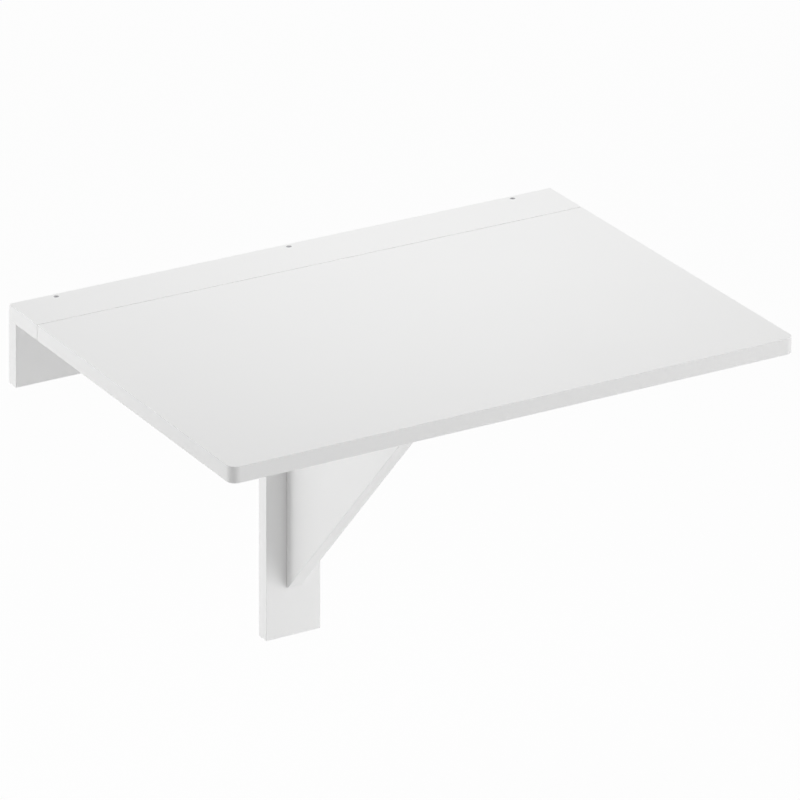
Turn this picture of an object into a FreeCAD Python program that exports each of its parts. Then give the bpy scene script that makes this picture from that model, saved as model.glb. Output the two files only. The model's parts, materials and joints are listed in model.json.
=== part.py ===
"""Wall mounted drop leaf table: boards on the wall, a hinged leaf and a bracket that swings under it.

Frame, in millimetres: the wall is the plane Y = 0 and the table reaches out to -Y, +Z is up, and the
origin is on the wall at the middle of the rail, between its wall screw holes.
"""
import FreeCAD, Part
import os
import Sketcher
from FreeCAD import Placement, Rotation, Vector

# Driving dimensions, one row each: name, value, what it measures
SIZES = [
    ("table_width", 800, "rail, strip and leaf along the wall"),
    ("table_depth", 600, "wall to the leaf's front edge"),
    ("edge_radius", 0.5, "eased arrises of every board"),
    ("rail_height", 80, "rail on the wall, upright"),
    ("rail_thickness", 20, "rail, out from the wall"),
    ("strip_depth", 80, "fixed strip on the rail, out from the wall"),
    ("strip_thickness", 20, "fixed strip, upright"),
    ("joint_gap", 0.8, "gap between strip and leaf"),
    ("leaf_thickness", 20, "leaf, upright"),
    ("leaf_corner_radius", 12, "leaf's two front corners, in plan"),
    ("post_width", 80, "post on the wall, along the wall"),
    ("post_height", 400, "post, down from the rail"),
    ("post_thickness", 20, "post, out from the wall"),
    ("bracket_thickness", 20, "swing bracket's board"),
    ("bracket_height", 413, "bracket's upright edge beside the post"),
    ("bracket_reach", 377.5, "bracket's level edge under the leaf"),
    ("bracket_nose", 46, "bracket's blunt front end, upright"),
    ("bracket_nose_radius", 6, "bracket's two front corners"),
    ("bracket_heel_radius", 2, "bracket's lowest corner"),
    ("bracket_back_gap", 0.5, "boards on the wall to the bracket's upright edge"),
    ("bracket_headroom", 0.7, "hinge knuckles to the bracket's level edge"),
    ("moving_clearance", 0.3, "between pieces that pass each other"),
    ("hinge_length", 60, "butt hinge along its pin"),
    ("plate_width", 22, "hinge plate, out from the knuckles"),
    ("plate_thickness", 1.5, "hinge plate"),
    ("knuckle_radius", 2.5, "hinge knuckles, outside"),
    ("knuckle_gap", 0.3, "between neighbouring knuckles"),
    ("pin_radius", 1.25, "hinge pin"),
    ("pin_clearance", 0.05, "pin to knuckle bore, all round"),
    ("pin_head_radius", 1.9, "hinge pin's riveted ends"),
    ("pin_head_height", 0.8, "hinge pin's riveted ends, along the pin"),
    ("leaf_hinge_inner", 120, "middle of the table to the inner leaf hinges"),
    ("leaf_hinge_inset", 80, "table's ends to the middle of the outer leaf hinges"),
    ("upper_hinge_drop", 50, "top of the post to the middle of the upper bracket hinge"),
    ("lower_hinge_rise", 69, "bracket's lowest corner to the middle of the lower bracket hinge"),
    ("screw_clearance", 0.05, "screw to its hole, all round"),
    ("pilot_overrun", 1, "screw or dowel end to the bottom of its hole"),
    ("hinge_screw_radius", 1.5, "hinge screws' shank"),
    ("hinge_screw_length", 14, "hinge screws, head and all"),
    ("top_screw_radius", 2, "shank of the screws through the strip"),
    ("top_screw_head_radius", 3.75, "countersunk head of the screws through the strip"),
    ("top_screw_length", 45, "screws through the strip, head and all"),
    ("top_screw_inset", 63, "table's ends to the outer two of those screws"),
    ("top_screw_setback", 8, "wall to those screws"),
    ("wall_hole_radius", 3, "holes for the wall screws"),
    ("wall_head_radius", 6, "countersinks for the wall screws"),
    ("rail_hole_inner", 100, "middle of the table to the inner wall holes of the rail"),
    ("rail_hole_inset", 100, "table's ends to the outer wall holes of the rail"),
    ("post_hole_drop", 60, "top of the post to its upper wall hole"),
    ("post_hole_spacing", 240, "upper to lower wall hole of the post"),
    ("dowel_radius", 4, "dowels between rail and post"),
    ("dowel_length", 40, "dowels, half in each board"),
    ("dowel_spacing", 40, "between the dowels"),
    ("stop_length", 50, "bracket stop, out from the wall"),
    ("stop_width", 44, "bracket stop's plate, right of its lip"),
    ("stop_lip_width", 6, "bracket stop's lip, left of the bracket"),
    ("stop_lip_drop", 8, "bracket stop's lip below the bracket's level edge"),
    ("stop_setback", 12, "bracket's front end to the stop"),
    ("stop_edge_radius", 0.8, "moulded edges of the bracket stop"),
    ("cut_overrun", 2, "how far a cutting tool runs past what it cuts"),
]
COUNTERSINK_ANGLE = 90
TINY = 1e-4
KNUCKLES = 5
FRAME_SIDE_KNUCKLES = (0, 2, 4)
MOVING_SIDE_KNUCKLES = (1, 3)

# Screw places on a hinge plate: shares of its length from the middle, and of its width from the knuckles
PLATE_SCREW_SHARES = ((-0.34, 0.64), (0.0, 0.36), (0.34, 0.64))
# Screw places on the bracket stop: shares of its plate's width, at the middle of its length
STOP_SCREW_SHARES = (0.3, 0.75)
# Cross recess: shares of the head's radius for its span and width, and of the head's height for its depth
RECESS_SPAN_SHARE = 1.3
RECESS_WIDTH_SHARE = 0.3
RECESS_DEPTH_SHARE = 0.6
# Pointed ends: length as a share of the shank's radius, and the point's radius as a share of it
POINT_LENGTH_SHARE = 2.5
POINT_RADIUS_SHARE = 0.15
# Dowel ends: lead-in as a share of the dowel's radius
LEAD_IN_SHARE = 0.25

# Levels and lines that several pieces share, written in the driving dimensions
UNDERSIDE = "sizes.rail_height / 2"
STRIP_TOP = f"({UNDERSIDE} + sizes.strip_thickness)"
POST_TOP = "(-sizes.rail_height / 2)"
HALF_WIDTH = "sizes.table_width / 2"
JOINT_LINE = "(-(sizes.strip_depth + sizes.joint_gap / 2))"
TOP_SCREW_LINE = "(-sizes.top_screw_setback)"
POST_MIDDLE = "(-sizes.post_thickness / 2)"
POST_FRONT = "(-sizes.post_thickness)"
PIVOT_DROP = "(sizes.knuckle_radius + sizes.moving_clearance)"
KNUCKLE_LENGTH = f"((sizes.hinge_length - {KNUCKLES - 1} * sizes.knuckle_gap) / {KNUCKLES})"
BRACKET_SIDE = "sizes.bracket_thickness / 2"
BRACKET_BACK = "(-(max(sizes.rail_thickness; sizes.post_thickness) + sizes.bracket_back_gap))"
BRACKET_FRONT = f"({BRACKET_BACK} - sizes.bracket_reach)"
BRACKET_TOP = f"({UNDERSIDE} - {PIVOT_DROP} - sizes.knuckle_radius - sizes.bracket_headroom)"
BRACKET_FOOT = f"({BRACKET_TOP} - sizes.bracket_height)"
BRACKET_HINGE_X = f"({BRACKET_SIDE} + {PIVOT_DROP})"
BRACKET_HINGE_Y = f"({POST_FRONT} - {PIVOT_DROP})"
HINGE_SCREW_HEAD = "(sizes.hinge_screw_radius + sizes.plate_thickness)"
HINGE_HOLE = "(sizes.hinge_screw_radius + sizes.screw_clearance)"
HINGE_PILOT = "(sizes.hinge_screw_length - sizes.plate_thickness + sizes.pilot_overrun)"
TOP_HOLE = "(sizes.top_screw_radius + sizes.screw_clearance)"
STOP_LIP_X = f"(-({BRACKET_SIDE} + sizes.moving_clearance))"
STOP_FACE = f"({BRACKET_TOP} + sizes.moving_clearance)"
STOP_BACK = f"({BRACKET_FRONT} + sizes.stop_setback + sizes.stop_length)"

LEAF_HINGES = {
    "leaf_hinge_1": f"(-{HALF_WIDTH} + sizes.leaf_hinge_inset)",
    "leaf_hinge_2": "(-sizes.leaf_hinge_inner)",
    "leaf_hinge_3": "sizes.leaf_hinge_inner",
    "leaf_hinge_4": f"({HALF_WIDTH} - sizes.leaf_hinge_inset)",
}
BRACKET_HINGES = {
    "bracket_hinge_upper": f"({POST_TOP} - sizes.upper_hinge_drop)",
    "bracket_hinge_lower": f"({BRACKET_FOOT} + sizes.lower_hinge_rise)",
}
TOP_SCREWS_X = (f"(-{HALF_WIDTH} + sizes.top_screw_inset)", "0", f"({HALF_WIDTH} - sizes.top_screw_inset)")
RAIL_HOLES_X = (
    f"(-{HALF_WIDTH} + sizes.rail_hole_inset)",
    "(-sizes.rail_hole_inner)",
    "sizes.rail_hole_inner",
    f"({HALF_WIDTH} - sizes.rail_hole_inset)",
)

UPRIGHT = Rotation()
TURNED_ROUND = Rotation(Vector(0, 0, 1), 180)
POINTING_UP = Rotation(Vector(1, 0, 0), 180)
INTO_POST = Rotation(Vector(1, 0, 0), 90)
INTO_BRACKET = Rotation(Vector(0, 1, 0), 90)
ALONG_X = Rotation(Vector(0, 1, 0), 90)
ON_POST = Rotation(Vector(0, 0, 1), Vector(1, 0, 0), Vector(0, 1, 0))
ON_BRACKET = Rotation(Vector(0, 0, -1), Vector(0, -1, 0), Vector(-1, 0, 0))

doc = FreeCAD.newDocument("drop_leaf_table")


def make_sheet():
    """Writes the driving dimensions into the spreadsheet that every size is bound to."""
    sheet = doc.addObject("Spreadsheet::Sheet", "sizes")
    for row, (alias, value, note) in enumerate(SIZES, 1):
        sheet.set(f"A{row}", alias)
        sheet.set(f"B{row}", str(value))
        sheet.set(f"C{row}", note)
        sheet.setAlias(f"B{row}", alias)
    doc.recompute()


def bind(thing, expressions):
    """Binds properties of a document object to expressions."""
    for path, expression in expressions.items():
        thing.setExpression(path, expression)
    return thing


def place(thing, rotation, x, y, z):
    """Turns an object, and binds its position to three expressions."""
    thing.Placement = Placement(Vector(), rotation)
    return bind(thing, {"Placement.Base.x": x, "Placement.Base.y": y, "Placement.Base.z": z})


# Boards: bodies with sketches


def new_body(name):
    """Starts a body whose label names its file."""
    body = doc.addObject("PartDesign::Body", name)
    body.Label = name
    return body


def new_sketch(body, name, role, offset):
    """Puts a sketch on one of the body's origin planes, moved along the plane's normal."""
    sketch = body.newObject("Sketcher::SketchObject", name)
    origin_plane = next(item for item in body.Origin.OriginFeatures if item.Role == role)
    sketch.AttachmentSupport = (origin_plane, "")
    sketch.MapMode = "FlatFace"
    return bind(sketch, {"AttachmentOffset.Base.z": offset})


def fix_point(sketch, geometry, point, u, v):
    """Binds a point of a sketch to two expressions, measured from the sketch's origin."""
    for kind, expression in (("DistanceX", u), ("DistanceY", v)):
        constraint = sketch.addConstraint(Sketcher.Constraint(kind, -1, 1, geometry, point, 1.0))
        sketch.setExpression(f"Constraints[{constraint}]", expression)


def draw_outline(sketch, points):
    """Draws a closed outline of straight lines through points given as expressions."""
    count = len(points)
    for number in range(count):
        sketch.addGeometry(Part.LineSegment(Vector(number, 0, 0), Vector(number, 1, 0)))
    for number, (u, v) in enumerate(points):
        sketch.addConstraint(Sketcher.Constraint("Coincident", number, 2, (number + 1) % count, 1))
        fix_point(sketch, number, 1, u, v)


def pad_outline(body, role, offset, points, length):
    """Pads an outline on one of the body's planes along the plane's normal."""
    sketch = new_sketch(body, f"{body.Name}_outline", role, offset)
    draw_outline(sketch, points)
    pad = body.newObject("PartDesign::Pad", f"{body.Name}_pad")
    pad.Profile = sketch
    bind(pad, {"Length": length})
    doc.recompute()


def at_front(point, box):
    """Tells whether a point is on the front of a box."""
    return point.y < box.YMin + TINY


def at_foot(point, box):
    """Tells whether a point is at the foot of a box."""
    return point.z < box.ZMin + TINY


def round_corners(body, radius, axis, wanted):
    """Rounds the straight edges along an axis whose middle passes the test, given the body's box."""
    base = body.Tip
    box = base.Shape.optimalBoundingBox(False)
    names = []
    for number, edge in enumerate(base.Shape.Edges, 1):
        run = edge.Vertexes[-1].Point - edge.Vertexes[0].Point
        if run.cross(axis).Length < TINY and wanted(edge.CenterOfMass, box):
            names.append(f"Edge{number}")
    fillet = body.newObject("PartDesign::Fillet", f"{body.Name}_corners_{len(body.Group)}")
    fillet.Base = (base, names)
    bind(fillet, {"Radius": radius})
    doc.recompute()


def ease_edges(body, radius):
    """Eases every sharp edge of a body."""
    base = body.Tip
    fillet = body.newObject("PartDesign::Fillet", f"{body.Name}_eased")
    fillet.Base = (base, ["Edge1"])
    fillet.UseAllEdges = True
    bind(fillet, {"Radius": radius})
    doc.recompute()


def ease_outside(body, radius):
    """Eases the edges on a body's outside, and leaves its inner corners sharp."""
    base = body.Tip
    box = base.Shape.optimalBoundingBox(False)
    box.enlarge(-TINY)
    names = [f"Edge{number}" for number, edge in enumerate(base.Shape.Edges, 1)
             if not box.isInside(edge.CenterOfMass)]
    fillet = body.newObject("PartDesign::Fillet", f"{body.Name}_eased")
    fillet.Base = (base, names)
    bind(fillet, {"Radius": radius})
    doc.recompute()


def drill(body, name, role, offset, places, radius, depth=None, head_radius=None, towards_normal=False):
    """Drills round holes at places on a plane, through or to a depth, with countersinks if asked."""
    sketch = new_sketch(body, f"{name}_places", role, offset)
    for number, (u, v) in enumerate(places):
        sketch.addGeometry(Part.Circle(Vector(number, 0, 0), Vector(0, 0, 1), 1))
        fix_point(sketch, number, 3, u, v)
        constraint = sketch.addConstraint(Sketcher.Constraint("Radius", number, 1.0))
        sketch.setExpression(f"Constraints[{constraint}]", radius)
    doc.recompute()
    before = body.Shape.Volume
    hole = body.newObject("PartDesign::Hole", name)
    hole.Profile = sketch
    hole.ThreadType = "None"
    hole.DrillPoint = "Flat"
    hole.Reversed = towards_normal
    hole.DepthType = "Dimension" if depth else "ThroughAll"
    bind(hole, {"Diameter": f"2 * {radius}"})
    if depth:
        bind(hole, {"Depth": depth})
    if head_radius:
        hole.HoleCutType = "Countersink"
        hole.HoleCutCustomValues = True
        hole.HoleCutCountersinkAngle = COUNTERSINK_ANGLE
        bind(hole, {"HoleCutDiameter": f"2 * {head_radius}"})
    doc.recompute()
    if body.Shape.Volume >= before:
        raise ValueError(f"{name} cuts nothing")


def box_points(low_u, high_u, low_v, high_v):
    """Corners of a rectangle as expressions."""
    return [(low_u, low_v), (high_u, low_v), (high_u, high_v), (low_u, high_v)]


def plate_screw_places(middles, pin, side):
    """Screw places of hinge plates, along and out: from each hinge's middle, and from the pin to one side."""
    places = []
    for middle in middles:
        for along_share, out_share in PLATE_SCREW_SHARES:
            along = f"({middle} + {along_share} * sizes.hinge_length)"
            out = f"({pin} {side} ({PIVOT_DROP} + {out_share} * sizes.plate_width))"
            places.append((along, out))
    return places


STRIP_PLATE_SCREWS = plate_screw_places(LEAF_HINGES.values(), JOINT_LINE, "+")
LEAF_PLATE_SCREWS = plate_screw_places(LEAF_HINGES.values(), JOINT_LINE, "-")
POST_PLATE_SCREWS = [(x, z) for z, x in plate_screw_places(BRACKET_HINGES.values(), BRACKET_HINGE_X, "+")]
BRACKET_PLATE_SCREWS = [(y, z) for z, y in plate_screw_places(BRACKET_HINGES.values(), BRACKET_HINGE_Y, "-")]
STOP_SCREWS = [
    (f"({STOP_LIP_X} + {share} * sizes.stop_width)", f"({STOP_BACK} - sizes.stop_length / 2)")
    for share in STOP_SCREW_SHARES
]
DOWELS_X = ("(-sizes.dowel_spacing / 2)", "sizes.dowel_spacing / 2")
DOWEL_HOLE = "(sizes.dowel_radius + sizes.screw_clearance)"
DOWEL_DEPTH = "(sizes.dowel_length / 2 + sizes.pilot_overrun)"


def make_wall_rail():
    """Rail on the wall under the fixed strip, with its wall holes."""
    body = new_body("wall_rail")
    outline = box_points(f"-{HALF_WIDTH}", HALF_WIDTH, "-sizes.rail_height / 2", "sizes.rail_height / 2")
    pad_outline(body, "XZ_Plane", "0", outline, "sizes.rail_thickness")
    ease_edges(body, "sizes.edge_radius")
    wall_holes = [(x, "0") for x in RAIL_HOLES_X]
    drill(body, "rail_wall_holes", "XZ_Plane", "sizes.rail_thickness", wall_holes,
          "sizes.wall_hole_radius", head_radius="sizes.wall_head_radius")
    pilots = [(x, TOP_SCREW_LINE) for x in TOP_SCREWS_X]
    depth = "(sizes.top_screw_length - sizes.strip_thickness + sizes.pilot_overrun)"
    drill(body, "rail_top_pilots", "XY_Plane", UNDERSIDE, pilots, TOP_HOLE, depth)
    dowels = [(x, POST_MIDDLE) for x in DOWELS_X]
    drill(body, "rail_dowel_holes", "XY_Plane", POST_TOP, dowels, DOWEL_HOLE, DOWEL_DEPTH,
          towards_normal=True)
    return body


def make_top_strip():
    """Fixed strip on top of the rail, which the leaf is hinged to."""
    body = new_body("top_strip")
    outline = box_points(f"-{HALF_WIDTH}", HALF_WIDTH, "-sizes.strip_depth", "0")
    pad_outline(body, "XY_Plane", UNDERSIDE, outline, "sizes.strip_thickness")
    ease_edges(body, "sizes.edge_radius")
    holes = [(x, TOP_SCREW_LINE) for x in TOP_SCREWS_X]
    drill(body, "strip_screw_holes", "XY_Plane", STRIP_TOP, holes, TOP_HOLE,
          head_radius="(sizes.top_screw_head_radius + sizes.screw_clearance)")
    drill(body, "strip_hinge_pilots", "XY_Plane", UNDERSIDE, STRIP_PLATE_SCREWS, HINGE_HOLE, HINGE_PILOT,
          towards_normal=True)
    return body


def make_drop_leaf():
    """Hinged leaf with rounded front corners."""
    body = new_body("drop_leaf")
    back = "-(sizes.strip_depth + sizes.joint_gap)"
    outline = box_points(f"-{HALF_WIDTH}", HALF_WIDTH, "-sizes.table_depth", back)
    pad_outline(body, "XY_Plane", UNDERSIDE, outline, "sizes.leaf_thickness")
    round_corners(body, "sizes.leaf_corner_radius", Vector(0, 0, 1), at_front)
    ease_edges(body, "sizes.edge_radius")
    drill(body, "leaf_hinge_pilots", "XY_Plane", UNDERSIDE, LEAF_PLATE_SCREWS, HINGE_HOLE, HINGE_PILOT,
          towards_normal=True)
    depth = f"(sizes.hinge_screw_length - ({UNDERSIDE} - {STOP_FACE}) + sizes.pilot_overrun)"
    drill(body, "leaf_stop_pilots", "XY_Plane", UNDERSIDE, STOP_SCREWS, HINGE_HOLE, depth,
          towards_normal=True)
    return body


def make_wall_post():
    """Post on the wall below the rail, which carries the bracket's hinges."""
    body = new_body("wall_post")
    foot = f"({POST_TOP} - sizes.post_height)"
    outline = box_points("-sizes.post_width / 2", "sizes.post_width / 2", foot, POST_TOP)
    pad_outline(body, "XZ_Plane", "0", outline, "sizes.post_thickness")
    ease_edges(body, "sizes.edge_radius")
    upper = f"({POST_TOP} - sizes.post_hole_drop)"
    wall_holes = [("0", upper), ("0", f"({upper} - sizes.post_hole_spacing)")]
    drill(body, "post_wall_holes", "XZ_Plane", "sizes.post_thickness", wall_holes,
          "sizes.wall_hole_radius", head_radius="sizes.wall_head_radius")
    dowels = [(x, POST_MIDDLE) for x in DOWELS_X]
    drill(body, "post_dowel_holes", "XY_Plane", POST_TOP, dowels, DOWEL_HOLE, DOWEL_DEPTH)
    drill(body, "post_hinge_pilots", "XZ_Plane", "sizes.post_thickness", POST_PLATE_SCREWS, HINGE_HOLE,
          HINGE_PILOT)
    return body


def make_swing_bracket():
    """Three-cornered bracket that swings out under the leaf."""
    body = new_body("swing_bracket")
    outline = [
        (BRACKET_BACK, BRACKET_TOP),
        (BRACKET_BACK, BRACKET_FOOT),
        (BRACKET_FRONT, f"({BRACKET_TOP} - sizes.bracket_nose)"),
        (BRACKET_FRONT, BRACKET_TOP),
    ]
    pad_outline(body, "YZ_Plane", f"-{BRACKET_SIDE}", outline, "sizes.bracket_thickness")
    across = Vector(1, 0, 0)
    round_corners(body, "sizes.bracket_nose_radius", across, at_front)
    round_corners(body, "sizes.bracket_heel_radius", across, at_foot)
    ease_edges(body, "sizes.edge_radius")
    drill(body, "bracket_hinge_pilots", "YZ_Plane", BRACKET_SIDE, BRACKET_PLATE_SCREWS, HINGE_HOLE,
          HINGE_PILOT)
    return body


def make_bracket_stop():
    """Moulded plate under the leaf: the bracket bears on its face and comes to rest against its lip."""
    body = new_body("bracket_stop")
    lip_end = f"({BRACKET_TOP} - sizes.stop_lip_drop)"
    lip_outside = f"({STOP_LIP_X} - sizes.stop_lip_width)"
    far_side = f"({STOP_LIP_X} + sizes.stop_width)"
    outline = [
        (lip_outside, UNDERSIDE),
        (lip_outside, lip_end),
        (STOP_LIP_X, lip_end),
        (STOP_LIP_X, STOP_FACE),
        (far_side, STOP_FACE),
        (far_side, UNDERSIDE),
    ]
    pad_outline(body, "XZ_Plane", f"-{STOP_BACK}", outline, "sizes.stop_length")
    ease_outside(body, "sizes.stop_edge_radius")
    drill(body, "stop_screw_holes", "XY_Plane", STOP_FACE, STOP_SCREWS, HINGE_HOLE,
          head_radius=f"({HINGE_SCREW_HEAD} + sizes.screw_clearance)", towards_normal=True)
    return body


# Hardware: primitives and booleans


def make_box(name, length, width, height, x, y, z):
    """Box with its lowest corner at a place."""
    box = bind(doc.addObject("Part::Box", name), {"Length": length, "Width": width, "Height": height})
    return place(box, UPRIGHT, x, y, z)


def make_rod(name, radius, length, rotation, x, y, z):
    """Cylinder that starts at a place."""
    rod = bind(doc.addObject("Part::Cylinder", name), {"Radius": radius, "Height": length})
    return place(rod, rotation, x, y, z)


def make_cone(name, low_radius, high_radius, height, x, y, z):
    """Upright cone that starts at a place."""
    cone = doc.addObject("Part::Cone", name)
    bind(cone, {"Radius1": low_radius, "Radius2": high_radius, "Height": height})
    return place(cone, UPRIGHT, x, y, z)


def join(name, pieces):
    """Fuses pieces into one solid."""
    fusion = doc.addObject("Part::MultiFuse", name)
    fusion.Shapes = pieces
    return fusion


def cut(name, base, tools):
    """Cuts tools from a solid; the result's label names its file."""
    result = doc.addObject("Part::Cut", name)
    result.Label = name
    result.Base = base
    result.Tool = join(f"{name}_tools", tools)
    return result


def make_hinge_plate(name, knuckles, rotation, x, y, z):
    """One side of a butt hinge, on the plane z = 0 of its own frame, with the pin along x below it."""
    start = "(-sizes.hinge_length / 2)"
    under = "-sizes.plate_thickness"
    pieces = [
        make_box(f"{name}_sheet", "sizes.hinge_length", "sizes.plate_width", "sizes.plate_thickness",
                 start, PIVOT_DROP, under)
    ]
    for number in knuckles:
        at = f"({start} + {number} * ({KNUCKLE_LENGTH} + sizes.knuckle_gap))"
        web = make_box(f"{name}_web_{number}", KNUCKLE_LENGTH, PIVOT_DROP, "sizes.plate_thickness",
                       at, "0", under)
        knuckle = make_rod(f"{name}_knuckle_{number}", "sizes.knuckle_radius", KNUCKLE_LENGTH, ALONG_X,
                           at, "0", f"-{PIVOT_DROP}")
        pieces += [web, knuckle]
    tools = [
        make_rod(f"{name}_bore", "(sizes.pin_radius + sizes.pin_clearance)",
                 "(sizes.hinge_length + 2 * sizes.cut_overrun)", ALONG_X,
                 f"({start} - sizes.cut_overrun)", "0", f"-{PIVOT_DROP}")
    ]
    seat_radius = f"({HINGE_SCREW_HEAD} + sizes.screw_clearance)"
    for number, (along, out) in enumerate(plate_screw_places(["0"], "0", "+")):
        tools.append(make_cone(f"{name}_seat_{number}", seat_radius, HINGE_HOLE, "sizes.plate_thickness",
                               along, out, under))
    plate = cut(name, join(f"{name}_blank", pieces), tools)
    return place(plate, rotation, x, y, z)


def make_hinge_pin(name, rotation, x, y, z):
    """Hinge pin with riveted ends, in the same frame as the plates."""
    start = "(-sizes.hinge_length / 2)"
    drop = f"-{PIVOT_DROP}"
    shaft = make_rod(f"{name}_shaft", "sizes.pin_radius", "sizes.hinge_length", ALONG_X, start, "0", drop)
    ends = [shaft]
    for number, at in enumerate((f"({start} - sizes.pin_head_height)", "sizes.hinge_length / 2")):
        ends.append(make_rod(f"{name}_head_{number}", "sizes.pin_head_radius", "sizes.pin_head_height",
                             ALONG_X, at, "0", drop))
    pin = join(name, ends)
    pin.Label = name
    return place(pin, rotation, x, y, z)


def make_screw(name, radius, head_radius, length):
    """Countersunk screw with a cross recess: its head's top at the origin, its point down."""
    head_height = f"({head_radius} - {radius})"
    point = f"({POINT_LENGTH_SHARE} * {radius})"
    shank_length = f"({length} - {head_height} - {point})"
    head = make_cone(f"{name}_head", radius, head_radius, head_height, "0", "0", f"-{head_height}")
    shank = make_rod(f"{name}_shank", radius, shank_length, UPRIGHT, "0", "0", f"({point} - {length})")
    point_radius = f"({POINT_RADIUS_SHARE} * {radius})"
    tip = make_cone(f"{name}_tip", point_radius, radius, point, "0", "0", f"-{length}")
    span = f"({RECESS_SPAN_SHARE} * {head_radius})"
    width = f"({RECESS_WIDTH_SHARE} * {head_radius})"
    depth = f"({RECESS_DEPTH_SHARE} * {head_height})"
    tall = f"({depth} + sizes.cut_overrun)"
    recess = [
        make_box(f"{name}_recess_x", span, width, tall, f"-{span} / 2", f"-{width} / 2", f"-{depth}"),
        make_box(f"{name}_recess_y", width, span, tall, f"-{width} / 2", f"-{span} / 2", f"-{depth}"),
    ]
    return cut(name, join(f"{name}_blank", [head, shank, tip]), recess)


def make_dowel(name):
    """Upright wooden dowel with tapered ends, its middle at the origin."""
    lead_in = f"({LEAD_IN_SHARE} * sizes.dowel_radius)"
    slim = f"(sizes.dowel_radius - {lead_in})"
    straight = f"(sizes.dowel_length - 2 * {lead_in})"
    full = "sizes.dowel_radius"
    middle = make_rod(f"{name}_middle", full, straight, UPRIGHT, "0", "0", f"-{straight} / 2")
    upper = make_cone(f"{name}_upper_end", full, slim, lead_in, "0", "0", f"{straight} / 2")
    lower = make_cone(f"{name}_lower_end", slim, full, lead_in, "0", "0", "-sizes.dowel_length / 2")
    return join(name, [middle, upper, lower])


def make_group(name, master, rotation, places):
    """Copies of one piece at several places, as separate solids of one node."""
    copies = []
    for number, (x, y, z) in enumerate(places):
        copy = doc.addObject("App::Link", f"{name}_{number}")
        copy.LinkedObject = master
        copies.append(place(copy, rotation, x, y, z))
    group = doc.addObject("Part::Compound", name)
    group.Label = name
    group.Links = copies
    return group


def make_hinges():
    """Four hinges under the strip and leaf, and two between the post and the bracket's right side."""
    nodes = []
    for name, x in LEAF_HINGES.items():
        seat = (x, JOINT_LINE, UNDERSIDE)
        nodes.append(make_hinge_plate(f"{name}_strip_plate", FRAME_SIDE_KNUCKLES, UPRIGHT, *seat))
        nodes.append(make_hinge_plate(f"{name}_leaf_plate", MOVING_SIDE_KNUCKLES, TURNED_ROUND, *seat))
        nodes.append(make_hinge_pin(f"{name}_pin", UPRIGHT, *seat))
    for name, z in BRACKET_HINGES.items():
        seat = (BRACKET_HINGE_X, POST_FRONT, z)
        nodes.append(make_hinge_plate(f"{name}_post_plate", FRAME_SIDE_KNUCKLES, ON_POST, *seat))
        nodes.append(make_hinge_plate(f"{name}_bracket_plate", MOVING_SIDE_KNUCKLES, ON_BRACKET,
                                      BRACKET_SIDE, BRACKET_HINGE_Y, z))
        nodes.append(make_hinge_pin(f"{name}_pin", ON_POST, *seat))
    return nodes


def make_fasteners():
    """Screws and dowels, each kind made once and copied to its places."""
    top_screw = make_screw("top_screw", "sizes.top_screw_radius", "sizes.top_screw_head_radius",
                           "sizes.top_screw_length")
    hinge_screw = make_screw("hinge_screw", "sizes.hinge_screw_radius", HINGE_SCREW_HEAD,
                             "sizes.hinge_screw_length")
    dowel = make_dowel("dowel")
    under_plates = f"({UNDERSIDE} - sizes.plate_thickness)"
    before_post = f"({POST_FRONT} - sizes.plate_thickness)"
    beside_bracket = f"({BRACKET_SIDE} + sizes.plate_thickness)"
    return [
        make_group("top_screws", top_screw, UPRIGHT,
                   [(x, TOP_SCREW_LINE, STRIP_TOP) for x in TOP_SCREWS_X]),
        make_group("strip_plate_screws", hinge_screw, POINTING_UP,
                   [(x, y, under_plates) for x, y in STRIP_PLATE_SCREWS]),
        make_group("leaf_plate_screws", hinge_screw, POINTING_UP,
                   [(x, y, under_plates) for x, y in LEAF_PLATE_SCREWS]),
        make_group("post_plate_screws", hinge_screw, INTO_POST,
                   [(x, before_post, z) for x, z in POST_PLATE_SCREWS]),
        make_group("bracket_plate_screws", hinge_screw, INTO_BRACKET,
                   [(beside_bracket, y, z) for y, z in BRACKET_PLATE_SCREWS]),
        make_group("bracket_stop_screws", hinge_screw, POINTING_UP,
                   [(x, y, STOP_FACE) for x, y in STOP_SCREWS]),
        make_group("post_dowels", dowel, UPRIGHT,
                   [(x, POST_MIDDLE, POST_TOP) for x in DOWELS_X]),
    ]


def check(nodes):
    """Stops unless every object is up to date and every sub-part is a sound set of solids."""
    for item in doc.Objects:
        if "Invalid" in item.State or "Error" in item.State:
            raise ValueError(f"{item.Name} failed: {item.State}")
    for node in nodes:
        if node.Shape.isNull() or not node.Shape.isValid() or not node.Shape.Solids:
            raise ValueError(f"{node.Label} has no sound shape")


def main():
    """Builds every sub-part, checks it and writes its file."""
    make_sheet()
    boards = [make_wall_rail(), make_top_strip(), make_drop_leaf(), make_wall_post(), make_swing_bracket()]
    nodes = boards + [make_bracket_stop()] + make_hinges() + make_fasteners()
    doc.recompute()
    check(nodes)
    os.makedirs("parts", exist_ok=True)
    for node in nodes:
        node.Shape.exportStep(f"parts/{node.Label}.step")
    print(f"{len(nodes)} sub-parts written")


main()
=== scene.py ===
"""Wall mounted drop leaf table: its finishes, small hardware, studio light and viewpoint."""
import json
import logging
import math
from abc import ABC, abstractmethod
from collections.abc import Callable, Sequence
from dataclasses import dataclass
from enum import Enum
from typing import Any

import bmesh
import bpy
from mathutils import Matrix, Vector

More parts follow.
